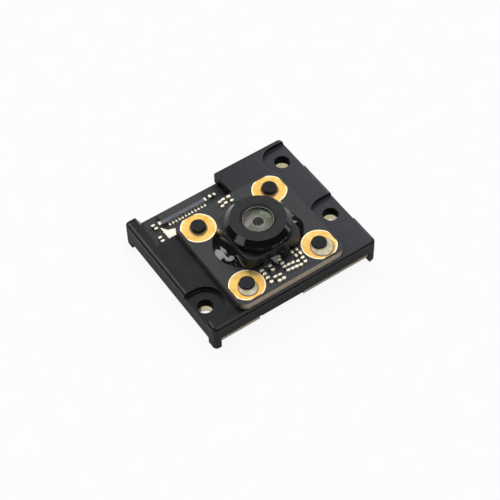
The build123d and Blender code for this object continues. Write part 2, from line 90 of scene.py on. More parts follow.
# %% Camera
AZIMUTH = math.radians(-32.923)
ELEVATION = math.radians(52.433)
ROLL = math.radians(-1.823)
FOCAL_LENGTH = 108.04
SENSOR = 36.0
DISTANCE = 193.611 * MM
AIM_RIGHT = 0.169 * MM
AIM_UP = -2.601 * MM
AIM_LEVEL = 4.2 * MM
CLIP_NEAR, CLIP_FAR = 0.01, 20.0

back = np.array([
    math.sin(AZIMUTH) * math.cos(ELEVATION),
    -math.cos(AZIMUTH) * math.cos(ELEVATION),
    math.sin(ELEVATION),
])
level_right = np.array([math.cos(AZIMUTH), math.sin(AZIMUTH), 0.0])
level_up = np.cross(back, level_right)
right = math.cos(ROLL) * level_right + math.sin(ROLL) * level_up
up = math.cos(ROLL) * level_up - math.sin(ROLL) * level_right
eye = AIM_RIGHT * right + AIM_UP * up + DISTANCE * back + np.array([0, 0, AIM_LEVEL])

camera_data = bpy.data.cameras.new("photo_camera")
camera_data.lens = FOCAL_LENGTH
camera_data.sensor_width = SENSOR
camera_data.clip_start, camera_data.clip_end = CLIP_NEAR, CLIP_FAR
camera = bpy.data.objects.new("photo_camera", camera_data)
bpy.context.scene.collection.objects.link(camera)
turn = np.eye(4)
turn[:3, :3] = np.column_stack([right, up, back])
turn[:3, 3] = eye
camera.matrix_world = Matrix(turn.tolist())
bpy.context.scene.camera = camera
print("camera at", np.round(eye / MM, 1), "mm")

# %% [markdown]
# ## Node helpers
# A material here is a short list of nodes. Written out, each node takes several lines, so these
# helpers make one with its settings in a single line, join sockets, and turn a screen colour into
# the linear values that shaders use.

# %% Node helpers
def linear(code):
    """Screen colour '#rrggbb' as linear r, g, b, a: c / 12.92 for a small c, and
    ((c + 0.055) / 1.055)^2.4 for the rest."""
    c = np.array([int(code[i:i + 2], 16) for i in (1, 3, 5)]) / 255
    c = np.where(c <= 0.04045, c / 12.92, ((c + 0.055) / 1.055) ** 2.4)
    return (*c, 1.0)


def add(tree, kind, **settings):
    """A new node of this kind; settings name its properties, or its inputs when they exist."""
    node = tree.nodes.new(kind)
    for name, value in settings.items():
        label = name.replace("_", " ")
        found = [s for s in node.inputs if s.name.lower() == label]
        if hasattr(node, name):
            setattr(node, name, value)
        else:
            found[0].default_value = value
    return node


def parts(tree, vector):
    """The X, Y and Z sockets of a vector socket."""
    node = add(tree, "ShaderNodeSeparateXYZ")
    tree.links.new(vector, node.inputs["Vector"])
    return node.outputs["X"], node.outputs["Y"], node.outputs["Z"]


def ramp(tree, factor, *stops):
    """A colour ramp fed by a factor; stops are (position, colour code)."""
    node = tree.nodes.new("ShaderNodeValToRGB")
    for element, (position, code) in zip(node.color_ramp.elements, stops):
        element.position = position
        element.color = linear(code)
    tree.links.new(factor, node.inputs["Fac"])
    return node.outputs["Color"]


def spread(tree, factor, low, high, start=0.0, end=1.0):
    """Map factor from start..end to low..high, clamped."""
    node = tree.nodes.new("ShaderNodeMapRange")
    for name, value in (("From Min", start), ("From Max", end), ("To Min", low), ("To Max", high)):
        node.inputs[name].default_value = value
    tree.links.new(factor, node.inputs["Value"])
    return node.outputs["Result"]


def maths(tree, operation, first, second=0.0):
    """One Math node; first and second are sockets or numbers."""
    node = tree.nodes.new("ShaderNodeMath")
    node.operation = operation
    for socket, value in zip(node.inputs, (first, second)):
        if isinstance(value, (int, float)):
            socket.default_value = value
        else:
            tree.links.new(value, socket)
    return node.outputs["Value"]


def times(tree, first, second):
    """Product of two values."""
    return maths(tree, "MULTIPLY", first, second)


def mix(tree, factor, first, second):
    """Mix two colours; factor, first and second are sockets, numbers or colours."""
    node = tree.nodes.new("ShaderNodeMix")
    node.data_type = "RGBA"
    for socket, value in ((node.inputs[0], factor), (node.inputs[6], first), (node.inputs[7], second)):
        if isinstance(value, (int, float, tuple)):
            socket.default_value = value
        else:
            tree.links.new(value, socket)
    return node.outputs[2]


print("screen grey #808080 is", round(float(linear("#808080")[0]), 3), "in linear light")

# %% [markdown]
# ## Soft edges
# No real edge is perfectly sharp: it catches a thin line of light. A bevel on every solid would
# cost many faces, so a Bevel node rounds only the shading. Several finishes share it, so it is a
# node group. It also gives a mask of where the edges are: one less the cosine between the rounded
# normal and the plain one, times a gain. The finishes use this mask to paint a highlight along the
# edges.

# %% Soft edges
def new_group(name, inputs, outputs):
    """An empty shader node group with named value inputs and outputs; returns it with both ends."""
    tree = bpy.data.node_groups.new(name, "ShaderNodeTree")
    for label, kind, value in inputs:
        socket = tree.interface.new_socket(label, in_out="INPUT", socket_type=kind)
        if value is not None:
            socket.default_value = value
    for label, kind in outputs:
        tree.interface.new_socket(label, in_out="OUTPUT", socket_type=kind)
    return tree, tree.nodes.new("NodeGroupInput"), tree.nodes.new("NodeGroupOutput")


soft_edge, ins, outs = new_group(
    "soft_edge",
    [("Radius", "NodeSocketFloat", 0.05 * MM), ("Gain", "NodeSocketFloat", 6.0)],
    [("Normal", "NodeSocketVector"), ("Edge", "NodeSocketFloat")],
)
bevel = add(soft_edge, "ShaderNodeBevel", samples=6)
geometry = add(soft_edge, "ShaderNodeNewGeometry")
dot = add(soft_edge, "ShaderNodeVectorMath", operation="DOT_PRODUCT")
soft_edge.links.new(ins.outputs["Radius"], bevel.inputs["Radius"])
soft_edge.links.new(bevel.outputs["Normal"], dot.inputs[0])
soft_edge.links.new(geometry.outputs["Normal"], dot.inputs[1])
bend = maths(soft_edge, "SUBTRACT", 1.0, dot.outputs["Value"])
edge = spread(soft_edge, times(soft_edge, bend, ins.outputs["Gain"]), 0.0, 1.0)
soft_edge.links.new(bevel.outputs["Normal"], outs.inputs["Normal"])
soft_edge.links.new(edge, outs.inputs["Edge"])
print("group", soft_edge.name)

# %% [markdown]
# ## Grain
# Moulded and sprayed surfaces have a fine bump, far too small to model. It is noise over the
# object coordinates, which need no unwrapping, laid on the normal that comes in.

# %% Grain
GRAIN_DEPTH = 0.02 * MM
grain, ins, outs = new_group(
    "grain",
    [
        ("Scale", "NodeSocketFloat", 9000.0), ("Strength", "NodeSocketFloat", 0.2),
        ("Normal", "NodeSocketVector", None),
    ],
    [("Normal", "NodeSocketVector")],
)
place = add(grain, "ShaderNodeTexCoord")
fine = add(grain, "ShaderNodeTexNoise", detail=3.0, roughness=0.6)
bump = add(grain, "ShaderNodeBump", distance=GRAIN_DEPTH)
grain.links.new(place.outputs["Object"], fine.inputs["Vector"])
grain.links.new(ins.outputs["Scale"], fine.inputs["Scale"])
grain.links.new(fine.outputs["Fac"], bump.inputs["Height"])
grain.links.new(ins.outputs["Strength"], bump.inputs["Strength"])
grain.links.new(ins.outputs["Normal"], bump.inputs["Normal"])
grain.links.new(bump.outputs["Normal"], outs.inputs["Normal"])
print("group", grain.name)

# %% [markdown]
# ## Dust
# Dust settles on faces that look up. It could be painted, but a mask made of nodes fits any shape:
# sparse specks, which are the cores of Voronoi cells, and a soft cloudy film, both kept to the
# faces whose normal points upward.

# %% Dust
SPECK_SCALE, SPECK_CORE, SPECK_EDGE = 900.0, 0.02, 0.09
CLOUD_SCALE, CLOUD_AMOUNT = 260.0, 0.35
dust, ins, outs = new_group(
    "dust",
    [("Amount", "NodeSocketFloat", 0.3)],
    [("Mask", "NodeSocketFloat")],
)
place = add(dust, "ShaderNodeTexCoord")
specks = add(dust, "ShaderNodeTexVoronoi", scale=SPECK_SCALE)
cloud = add(dust, "ShaderNodeTexNoise", scale=CLOUD_SCALE, detail=4.0)
dust.links.new(place.outputs["Object"], specks.inputs["Vector"])
dust.links.new(place.outputs["Object"], cloud.inputs["Vector"])
speck = spread(dust, specks.outputs["Distance"], 1.0, 0.0, SPECK_CORE, SPECK_EDGE)
dust_film_and_sheen = spread(dust, cloud.outputs["Fac"], 0.0, CLOUD_AMOUNT, 0.45, 0.8)
facing = parts(dust, add(dust, "ShaderNodeNewGeometry").outputs["Normal"])
upward = spread(dust, facing[2], 0.0, 1.0, 0.3, 0.95)
both = times(dust, maths(dust, "ADD", speck, dust_film_and_sheen), upward)
dust.links.new(times(dust, both, ins.outputs["Amount"]), outs.inputs["Mask"])
print("group", dust.name)

# %% [markdown]
# ## Material base
# Every finish starts in the same way, so one function does it: a Principled shader with its
# constants set on its own sockets, the rounded-edge normal and the grain already joined. It keeps
# the finish by name, for the table that dresses the solids later.

# %% Material base
finishes = {}


def start(name, grain_scale, grain_strength, edge_radius, **constants):
    """A new finish with soft edges and grain. Returns its tree, shader, object coordinates and
    edge mask."""
    material = bpy.data.materials.new(name)
    finishes[name] = material
    material.use_nodes = True
    tree = material.node_tree
    shader = tree.nodes["Principled BSDF"]
    for label, value in constants.items():
        names = [s for s in shader.inputs if s.name.lower() == label.replace("_", " ")]
        names[0].default_value = value
    rounded = tree.nodes.new("ShaderNodeGroup")
    rounded.node_tree = soft_edge
    rounded.inputs["Radius"].default_value = edge_radius
    rough = tree.nodes.new("ShaderNodeGroup")
    rough.node_tree = grain
    rough.inputs["Scale"].default_value = grain_scale
    rough.inputs["Strength"].default_value = grain_strength
    tree.links.new(rounded.outputs["Normal"], rough.inputs["Normal"])
    tree.links.new(rough.outputs["Normal"], shader.inputs["Normal"])
    place = tree.nodes.new("ShaderNodeTexCoord").outputs["Object"]
    return tree, shader, place, rounded.outputs["Edge"]


def join(tree, shader, colour, rough):
    """Join a colour and a roughness to a shader."""
    tree.links.new(colour, shader.inputs["Base Color"])
    tree.links.new(rough, shader.inputs["Roughness"])


# %% [markdown]
# ## What most finishes need
# Nothing real has one flat colour. These helpers make a colour or a value that wanders, a painted
# highlight along the edges and dust, and masks by height, by the way a face looks and by the
# distance from upright axes. The masks follow the shape, so no face has to be picked by hand.

# %% What most finishes need
def noise(tree, place, scale, detail=3.0):
    """Noise over the object coordinates, as one value."""
    node = add(tree, "ShaderNodeTexNoise", scale=scale, detail=detail, roughness=0.55)
    tree.links.new(place, node.inputs["Vector"])
    return node.outputs["Fac"]


def mottled(tree, place, scale, dark, light):
    """A colour that wanders between two with noise of this scale."""
    return ramp(tree, noise(tree, place, scale), (0.3, dark), (0.7, light))


def uneven(tree, place, scale, low, high):
    """A value that wanders between two with noise of this scale."""
    return spread(tree, noise(tree, place, scale), low, high, 0.3, 0.7)


def painted_edge_highlight(tree, colour, edge, amount, code):
    """Lay a paler colour along the edges: a painted highlight where an edge catches the light."""
    return mix(tree, times(tree, edge, amount), colour, linear(code))


def dusted(tree, colour, amount):
    """Lay the dust mask over a colour."""
    node = tree.nodes.new("ShaderNodeGroup")
    node.node_tree = dust
    node.inputs["Amount"].default_value = amount
    return mix(tree, node.outputs["Mask"], colour, linear("#8f8d88"))


def height_of(tree, place):
    """Height over the ground in millimetres."""
    return times(tree, parts(tree, place)[2], 1 / MM)


def facing_of(tree, axis):
    """How squarely a face looks along an axis, 0 for X and 2 for Z: from 0 to 1."""
    normal = add(tree, "ShaderNodeNewGeometry").outputs["True Normal"]
    return maths(tree, "ABSOLUTE", parts(tree, normal)[axis])


def nearest(tree, place, centres):
    """Distance in millimetres, seen from above, to the nearest of some upright axes at (x, y)."""
    plan = add(tree, "ShaderNodeVectorMath", operation="MULTIPLY")
    plan.inputs[1].default_value = (1, 1, 0)
    tree.links.new(place, plan.inputs[0])
    closest = None
    for x, y in centres:
        gap = add(tree, "ShaderNodeVectorMath", operation="DISTANCE")
        gap.inputs[1].default_value = (x, y, 0)
        tree.links.new(plan.outputs["Vector"], gap.inputs[0])
        gap = times(tree, gap.outputs["Value"], 1 / MM)
        closest = gap if closest is None else maths(tree, "MINIMUM", closest, gap)
    return closest


# %% [markdown]
# ## Moulded black plastics
# The frame is a satin glass-filled moulding. A painted blue-grey sheen, standing for a back-right
# lamp's reflection, grows to the right on its level plate, and a painted shade darkens its screw
# holes to black inside. Its upright faces are duller than the plate. The holder is a finer
# moulding. The lens barrel is matt on level faces and polished on its cone. Each could have a
# second material on some faces, but one that follows how level a face is needs no picking.

# %% Moulded black plastics
# Where the painted sheen starts and where it is full, along X
SHEEN_FROM, SHEEN_TO = -6 * MM, 13 * MM
PLATE_LEVEL = 4.4
HOLE_WALL = 1.06
UPRIGHT_ROUGHNESS = 0.62


def black_plastic():
    """Satin moulding: noise between two near blacks, a painted pale sheen to the right, painted
    highlights on the edges and painted shade in the screw holes.
    """
    tree, shader, place, edge = start(
        "black_plastic", 14000, 0.12, 0.06 * MM, specular_ior_level=0.22, ior=1.5
    )
    base = mottled(tree, place, 420, "#0b0c0f", "#121317")
    level = facing_of(tree, 2)
    # Painted sheen: a pale blue-grey reflection of a back-right lamp on the level plate, growing to the
    # right
    dust_film_and_sheen = spread(tree, parts(tree, place)[0], 0.0, 1.0, SHEEN_FROM, SHEEN_TO)
    dust_film_and_sheen = times(tree, dust_film_and_sheen, spread(tree, level, 0.0, 1.0, 0.8, 0.98))
    on_plate = spread(tree, height_of(tree, place), 1.0, 0.0, PLATE_LEVEL, PLATE_LEVEL + 0.2)
    base = mix(tree, times(tree, times(tree, dust_film_and_sheen, on_plate), 0.9), base, linear("#38393f"))
    base = painted_edge_highlight(tree, base, edge, 0.5, "#7c8086")
    # Painted shade: the screw holes are darkened to near black inside
    hole_shade = spread(tree, nearest(tree, place, bores), 1.0, 0.0, HOLE_WALL, HOLE_WALL + 0.06)
    base = mix(tree, hole_shade, base, linear("#050505"))
    rough = uneven(tree, place, 900, 0.24, 0.32)
    rough = maths(tree, "MAXIMUM", rough, times(tree, hole_shade, 0.95))
    upright = spread(tree, level, UPRIGHT_ROUGHNESS, 0.0, 0.02, 0.1)
    join(tree, shader, dusted(tree, base, 0.1), maths(tree, "MAXIMUM", rough, upright))


def holder_plastic():
    """Finer black moulding of the lens holder."""
    tree, shader, place, edge = start(
        "holder_plastic", 16000, 0.1, 0.06 * MM, specular_ior_level=0.4, ior=1.5
    )
    base = painted_edge_highlight(tree, mottled(tree, place, 600, "#101113", "#17181a"), edge, 0.4, "#5a5d60")
    join(tree, shader, base, uneven(tree, place, 800, 0.36, 0.46))


def barrel_plastic():
    """Lens barrel: matt on level faces, polished on the cone."""
    tree, shader, place, edge = start(
        "barrel_plastic", 15000, 0.08, 0.05 * MM, specular_ior_level=0.32, ior=1.52
    )
    flat = spread(tree, facing_of(tree, 2), 0.0, 1.0, 0.7, 0.82)
    base = mix(tree, flat, linear("#070708"), linear("#121315"))
    base = painted_edge_highlight(tree, base, edge, 0.7, "#85878a")
    satin = times(tree, flat, uneven(tree, place, 1500, 0.42, 0.52))
    join(tree, shader, base, maths(tree, "ADD", satin, 0.09))


black_plastic()
holder_plastic()
barrel_plastic()
print("finishes:", *finishes)

# %% [markdown]
# ## Circuit boards
# A black solder mask is a thin glossy lacquer over copper, so copper shows as faint patches, with
# a sparse dot where a small plated hole is. A dark line runs round each gold pad. The lower board
# is duller, and a painted shade darkens it down in the frame's recess. The cut edge shows the
# glass-fibre core: tan, with fine bands along the board, and a painted shade darkens the edges that
# face along X. One finish makes both, told apart by the face's direction.

# %% Circuit boards
BETWEEN_BOARDS = 2.6
PAD_OUTLINE = 2.43


def black_board():
    """Solder mask on level faces with faint copper, layered laminate on the cut edges."""
    tree, shader, place, edge = start(
        "black_board", 12000, 0.05, 0.03 * MM, specular_ior_level=0.5, ior=1.5
    )
    height = height_of(tree, place)
    flat = spread(tree, facing_of(tree, 2), 0.0, 1.0, 0.4, 0.8)
    cells = add(tree, "ShaderNodeTexVoronoi", scale=700.0, distance="MANHATTAN", feature="F1")
    tree.links.new(place, cells.inputs["Vector"])
    copper = spread(tree, cells.outputs["Distance"], 0.0, 1.0, 0.28, 0.34)
    mask = mix(tree, copper, linear("#16171c"), linear("#1b1d22"))
    cloudy = spread(tree, noise(tree, place, 350), 0.0, 0.5, 0.35, 0.75)
    mask = mix(tree, cloudy, mask, linear("#202127"))
    holes = add(tree, "ShaderNodeTexVoronoi", scale=420.0)
    tree.links.new(place, holes.inputs["Vector"])
    dots = spread(tree, holes.outputs["Distance"], 1.0, 0.0, 0.03, 0.05)
    some = add(tree, "ShaderNodeSeparateColor")
    tree.links.new(holes.outputs["Color"], some.inputs["Color"])
    dots = times(tree, dots, spread(tree, some.outputs["Red"], 0.0, 0.8, 0.6, 0.62))
    mask = mix(tree, dots, mask, linear("#77736a"))
    # Painted shade: the lower board, down in the frame's recess, is darkened and made duller
    lower = (BETWEEN_BOARDS, BETWEEN_BOARDS + 0.2)
    mask = mix(tree, spread(tree, height, 0.9, 0.0, *lower), mask, linear("#050507"))
    off_outline = maths(tree, "SUBTRACT", nearest(tree, place, posts), PAD_OUTLINE)
    outline = spread(tree, maths(tree, "ABSOLUTE", off_outline), 1.0, 0.0, 0.05, 0.1)
    mask = mix(tree, outline, mask, linear("#1c0e07"))
    layers = add(
        tree, "ShaderNodeTexWave", scale=2600.0, distortion=1.5, bands_direction="Z", detail=2.0
    )
    tree.links.new(place, layers.inputs["Vector"])
    laminate = ramp(tree, layers.outputs["Fac"], (0.2, "#75695a"), (0.8, "#a3957f"))
    fibres = spread(tree, noise(tree, place, 5000, 2.0), 0.0, 0.5, 0.4, 0.7)
    laminate = mix(tree, fibres, laminate, linear("#bdb09a"))
    # Painted shade: cut edges that face along X are darkened to dark brown
    side_shade = spread(tree, facing_of(tree, 0), 0.0, 0.9, 0.35, 0.9)
    laminate = mix(tree, side_shade, laminate, linear("#211c18"))
    rough = mix(tree, flat, (0.6, 0.6, 0.6, 1), (0.27, 0.27, 0.27, 1))
    rough = maths(tree, "MAXIMUM", rough, spread(tree, height, 0.5, 0.0, *lower))
    join(tree, shader, dusted(tree, mix(tree, flat, laminate, mask), 0.1), rough)


black_board()
print("nodes in the boards' finish:", len(finishes["black_board"].node_tree.nodes))

# %% [markdown]
# ## Metals
# Immersion gold follows the copper's grain and is never a mirror; each pad has a painted highlight
# along its rim. Tin on the chip ends and pads is paler and frosted. A smooth yellow metal would
# look like foil, so the colour and the roughness of both wander a little. Their edges get a
# painted highlight.

# %% Metals
PAD_HIGHLIGHT_RIM = 2.36


def metal(name, dark, light, low, high, scale, strength, highlight_rim=None):
    """Plated metal: the colour wanders from dark to light and the roughness from low to high; a rim
    radius in millimetres gets a painted highlight."""
    tree, shader, place, edge = start(name, scale, strength, 0.03 * MM, metallic=1.0)
    base = painted_edge_highlight(tree, mottled(tree, place, 900, dark, light), edge, 0.6, "#fff4d8")
    if highlight_rim:
        # Painted highlight: a pale ring just inside the pad's rim
        outer = spread(tree, nearest(tree, place, posts), 0.0, 1.0, highlight_rim - 0.22, highlight_rim - 0.08)
        base = mix(tree, outer, base, linear("#fff3d0"))
    join(tree, shader, base, uneven(tree, place, 2500, low, high))


metal("gold_plating", "#e0ab4c", "#eecd80", 0.28, 0.4, 7000, 0.2, highlight_rim=PAD_HIGHLIGHT_RIM)
metal("bright_tin", "#d6d4cf", "#f6eac8", 0.25, 0.4, 9000, 0.25)
metal("crystal_metal", "#9fa2a4", "#c9cccd", 0.2, 0.32, 5000, 0.1)
print(len(finishes), "finishes with the metals")

# %% [markdown]
# ## Adhesive, glue and resins
# The holder is sealed with a glossy black epoxy that mirrors the lamps. The post glue is milky, so
# a little light enters it, and a painted brown shade darkens its low toe on the pad. The connector
# and package resins are plain matt mouldings. One function makes all but the glue, because they
# differ only in colour, roughness and grain.

# %% Adhesive, glue and resins
TOE_SHADE_FROM, TOE_SHADE_TO = 0.03, 0.11


def resin(name, dark, light, low, high, scale=12000, strength=0.1, dust_amount=0.1):
    """Moulded or cured resin: two close colours, dark to light, and a roughness, low to high."""
    tree, shader, place, edge = start(
        name, scale, strength, 0.03 * MM, specular_ior_level=0.5, ior=1.5
    )
    base = painted_edge_highlight(tree, mottled(tree, place, 1200, dark, light), edge, 0.25, "#8c8c88")
    join(tree, shader, dusted(tree, base, dust_amount), uneven(tree, place, 700, low, high))


def post_glue():
    """Milky glue: pale, slightly translucent, wet looking, with a painted brown shade at its toe."""
    tree, shader, place, _ = start(
        "pale_glue", 3000, 0.08, 0.04 * MM, subsurface_weight=0.25, subsurface_scale=0.4 * MM, ior=1.45
    )
    base = mottled(tree, place, 1500, "#b0a585", "#d6cdb0")
    pad_level = pads_top / MM
    # Painted shade: the glue turns dark brown where it lies low at its toe on the pad
    toe_shade = spread(tree, height_of(tree, place), 0.9, 0.0, pad_level + TOE_SHADE_FROM, pad_level + TOE_SHADE_TO)
    base = mix(tree, toe_shade, base, linear("#6b4218"))
    join(tree, shader, base, uneven(tree, place, 900, 0.2, 0.34))


resin("pale_plastic", "#444a52", "#565d66", 0.4, 0.5)
resin("dark_plastic", "#141517", "#1c1d20", 0.35, 0.45)
resin("black_resin", "#141517", "#1c1d1f", 0.4, 0.5)
resin("chip_resin", "#191a1c", "#232427", 0.45, 0.6)
resin("chip_ceramic", "#241f1b", "#352d26", 0.4, 0.55)
resin("sensor_package", "#24262a", "#303338", 0.35, 0.5)
resin("ferrite", "#37363a", "#4b4946", 0.5, 0.65)
# Pale finish of the painted highlight rings at the lens seat and round the stop's hole
resin("seat_edge", "#8d8b86", "#b4b1aa", 0.3, 0.4, dust_amount=0.0)
# The stop's mid-grey is a painted reflection: seen through the lens it makes a pale ring
resin("stop_foil", "#77736a", "#8a867c", 0.4, 0.5, dust_amount=0.0)
resin("black_adhesive", "#060607", "#0b0b0c", 0.05, 0.1, 2500, 0.04, dust_amount=0.02)
post_glue()
print(len(finishes), "finishes with the resins")

# %% [markdown]
# ## Glass
# Real lens glass lets the lamps through to the stop behind it. Refraction alone would need very
# many samples to light the inside, so shadow rays pass straight through here. Coated glass shines
# less than bare glass, so its refraction index is set low. A painted green reflection of the
# coating grows to one side.

# %% Glass
REFLECTION_FROM, REFLECTION_TO = 0.1 * MM, 1.6 * MM


def glass(name, tint, ior, rough=0.05, green=0.0):
    """Coated glass whose shadow rays pass straight through; green sets its painted green reflection
    to the right.
    """
    tree, shader, place, _ = start(
        name, 2500, 0.01, 0.02 * MM, transmission_weight=1.0, ior=ior
    )
    smear = noise(tree, place, 500)
    # Painted reflection: the base colour turns green towards +X
    green_reflection = spread(tree, parts(tree, place)[0], 0.0, green, REFLECTION_FROM, REFLECTION_TO)
    base = mix(tree, smear, linear(tint), linear("#ffffff"))
    base = mix(tree, green_reflection, base, linear("#8fd088"))
    join(tree, shader, base, spread(tree, smear, rough, rough + 0.04, 0.4, 0.8))
    light = add(tree, "ShaderNodeLightPath")
    clear = add(tree, "ShaderNodeBsdfTransparent")
    both = add(tree, "ShaderNodeMixShader")
    tree.links.new(light.outputs["Is Shadow Ray"], both.inputs["Fac"])
    tree.links.new(shader.outputs["BSDF"], both.inputs[1])
    tree.links.new(clear.outputs["BSDF"], both.inputs[2])
    tree.links.new(both.outputs["Shader"], tree.nodes["Material Output"].inputs["Surface"])


glass("clear_glass", "#f4f8f8", 1.12)
# The filter's dark tint is a painted shade that darkens the iris seen through the lens
glass("filter_glass", "#141b1c", 1.12)
glass("coated_glass", "#dcdccf", 1.26, rough=0.08, green=0.85)
print(len(finishes), "finishes with the glasses")

# %% [markdown]
# ## Give every solid its finish
# The solids could be dressed one by one, but the record already names a material slot for each
# node, and the finishes have the slots' names, so one loop dresses them all.

# %% Give every solid its finish
slot_of = {row["node"]: row["material_slot"] for row in frame["record"]["subparts"]}
for name, node in nodes.items():
    node.data.materials.clear()
    node.data.materials.append(finishes[slot_of[name]])
print(len(nodes), "nodes dressed in", len(set(slot_of.values())), "finishes")

# %% [markdown]
# ## Surfaces on a grid
# Soft forms could be sculpted, but a formula can be read and changed. So a new piece is a grid of
# points, an array of shape (rows, columns, 3). Joining each point to its neighbours, and the last
# row and column to the first, makes a closed surface. Each piece is sunk a little into what carries
# it, so no gap shows.

# %% Surfaces on a grid
SINK = 0.02 * MM


def grid_faces(rows, columns, first=0):
    """Corner numbers of the quads of a grid closed both ways, as an array of shape (faces, 4)."""
    r, c = np.meshgrid(np.arange(rows), np.arange(columns), indexing="ij")
    r2, c2 = (r + 1) % rows, (c + 1) % columns
    quads = np.stack([r * columns + c, r * columns + c2, r2 * columns + c2, r2 * columns + c], -1)
    return quads.reshape(-1, 4) + first


def build(name, points, faces, slot_name, stands_for=()):
    """Make one smooth mesh object from points and quads, dress it and let it ride on the root."""
    mesh = bpy.data.meshes.new(name)
    mesh.from_pydata(points.reshape(-1, 3).tolist(), [], faces.tolist())
    mesh.polygons.foreach_set("use_smooth", np.ones(len(faces), bool))
    mesh.update()
    piece = bpy.data.objects.new(name, mesh)
    bpy.context.scene.collection.objects.link(piece)
    mesh.materials.append(finishes[slot_name])
    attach(piece, "root")
    if stands_for:
        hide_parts(*stands_for)
    print(name, len(faces), "faces")


# %% [markdown]
# ## Adhesive round the lens holder
# The real skirt is epoxy that crept out over the board before it cured: wide at the sides, held
# back at the corners by the gold pads. A fluid simulation could make it, but not at a known size.
# So its plan is a radius that varies with the angle, smoothed between a few angles. Its section is
# a concave fillet over a low cushion, flatter along two tongues, with one round lump.

# %% Adhesive round the lens holder
HOLDER_HALF = (holder_high[0] - holder_low[0]) / 2
HOLDER_ROUND = 1.4 * MM
# Angle in degrees and radius in millimetres of the skirt's edge
SKIRT_OUTLINE = [
    (0, 5.85), (20, 5.65), (45, 5.5), (90, 4.85), (135, 5.6), (150, 5.9), (170, 6.24),
    (187, 6.18), (198, 5.75), (210, 5.5), (225, 5.4), (240, 5.0), (254, 5.0), (266, 5.4),
    (280, 5.0), (300, 4.9), (315, 5.4), (325, 5.75), (336, 5.9), (347, 6.2),
]
SMOOTH = 11
MIN_REACH = 0.08 * MM
# Across, along, swell and width of the lump in millimetres; angle and width of each tongue
LUMP = (-5.0, -1.75, 0.3, 0.46)
TONGUES = [(264, 12), (350, 16)]


def rounded_square(angle, half, radius):
    """Distance from the centre to a rounded square: on a flat side half / max(|cos|, |sin|), and
    at a corner the far meeting of the ray with the corner's arc."""
    x, y = np.abs(np.cos(angle)), np.abs(np.sin(angle))
    flat = half / np.maximum(x, y)
    centre = half - radius
    along = centre * (x + y)
    arc = along + np.sqrt(np.maximum(along**2 - 2 * centre**2 + radius**2, 0))
    return np.where(flat * np.minimum(x, y) <= centre, flat, arc)


def adhesive_skirt(columns=360, rows=48):
    """Points of the skirt at angle a and share t: radius = wall + reach t, and
    height = cushion (1 - t^4) + (rise - cushion) (1 - t)^p: a low cushion under a concave fillet,
    where p is 2.8 and less where a tongue runs out,
    plus a round lump, swell exp(-gap^2 / 2 width^2), that fades at the edge."""
    angle = np.linspace(0, 2 * np.pi, columns, endpoint=False)
    outer = np.interp(np.degrees(angle), *np.transpose(SKIRT_OUTLINE), period=360) * MM
    window = np.hanning(2 * SMOOTH + 1)
    wrapped = np.concatenate([outer[-SMOOTH:], outer, outer[:SMOOTH]])
    outer = np.convolve(wrapped, window / window.sum(), mode="valid")
    wall = rounded_square(angle, HOLDER_HALF - SINK, HOLDER_ROUND)
    reach = np.maximum(outer - wall, MIN_REACH)
    tongue = np.zeros_like(angle)
    for middle, width in TONGUES:
        tongue = tongue + np.exp(-(((np.degrees(angle) - middle) / width) ** 2))
    rise = (0.5 * MM + 0.42 * reach) * (1 - 0.42 * tongue)
    steep = 2.8 - 1.65 * tongue
    share = np.linspace(0, 1, rows)[:, None]
    radius = wall + reach * share
    cushion = 0.03 * MM + 0.085 * reach
    height = board_top + cushion * (1 - share**4) + (rise - cushion) * (1 - share) ** steep
    across, along, swell, width = (v * MM for v in LUMP)
    gap = (radius * np.cos(angle) - across) ** 2 + (radius * np.sin(angle) - along) ** 2
    height = height + swell * np.exp(-gap / (2 * width**2)) * (1 - share**6)
    inner = np.stack([wall[None, :], np.full((1, columns), board_top - SINK / 2)], -1)
    shell = np.stack([radius, np.broadcast_to(height, radius.shape)], -1)
    shell = np.concatenate([inner, shell])
    x = lens_centre[0] + shell[..., 0] * np.cos(angle)
    y = lens_centre[1] + shell[..., 0] * np.sin(angle)
    return np.stack([x, y, shell[..., 1]], -1)


points = adhesive_skirt()
build(
    "adhesive_flow", points, grid_faces(*points.shape[:2])[:, ::-1],
    "black_adhesive", ["holder_adhesive"],
)

# %% [markdown]
# ## Glue round the posts
# Each post is held by a drop of milky glue, and the front ones ran to one side before they set. A
# squashed sphere would cut through the post. So the drop starts at the post's wall, and its edge is
# a circle that is pushed off the post. Between them it is a dome that climbs the post a little.

# %% Glue round the posts
POST_RADIUS = 1.0 * MM
# Push across and along and radius of each drop in millimetres, and how full it is
BEADS = [
    (-0.14, -0.51, 1.3, 1.0), (0.1, -0.55, 1.56, 1.0), (0.0, -0.05, 1.16, 0.3), (0.02, -0.05, 1.16, 0.3)
]


